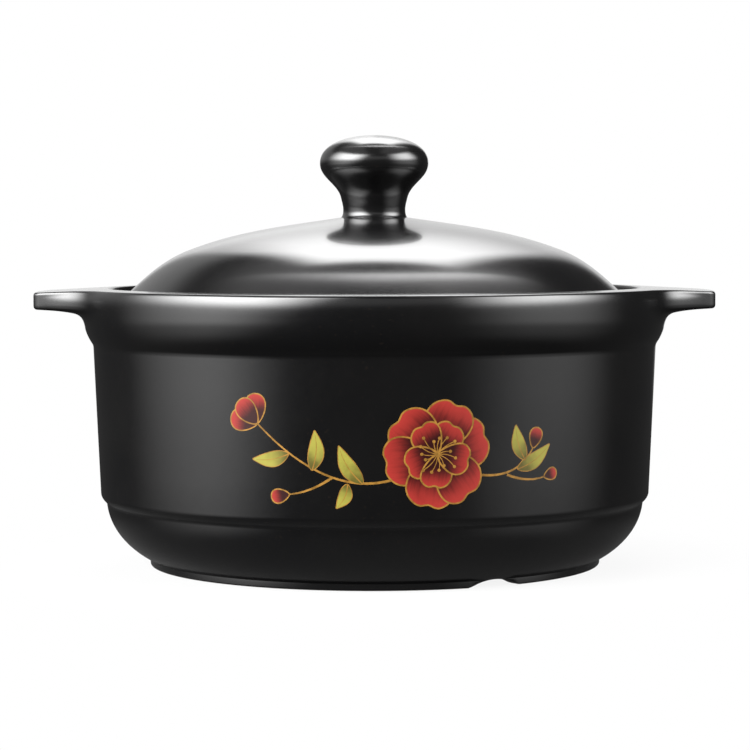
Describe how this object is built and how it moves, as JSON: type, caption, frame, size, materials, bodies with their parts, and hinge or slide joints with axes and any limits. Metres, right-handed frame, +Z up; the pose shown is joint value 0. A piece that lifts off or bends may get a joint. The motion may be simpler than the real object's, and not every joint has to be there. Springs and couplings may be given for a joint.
{
  "type": "ceramic stew pot",
  "caption": "Round black-glazed ceramic stew pot with lug ears at the rim, a collar, a notched foot ring and a domed lid with a ball knob that lifts out of its seat.",
  "frame": {"origin": "centre of the foot ring, on the plane that it rests on", "axes": "+Z up along the axis of the pot, +X along the line through the ears, -Y towards the decorated front"},
  "size_m": [0.2486, 0.213, 0.1567],
  "materials": {
    "pot_glaze": "glossy black glaze",
    "lid_glaze": "glossy black glaze"
  },
  "bodies": {
    "pot": {"pot_body": "pot_glaze", "left_ear": "pot_glaze", "right_ear": "pot_glaze"},
    "lid": {"lid_dome": "lid_glaze", "lid_knob": "lid_glaze"}
  },
  "joints": [
    {"name": "lid_lift", "type": "slide", "parent": "pot", "child": "lid", "axis": [0, 0, 1], "range_m": [0, 0.15]}
  ]
}
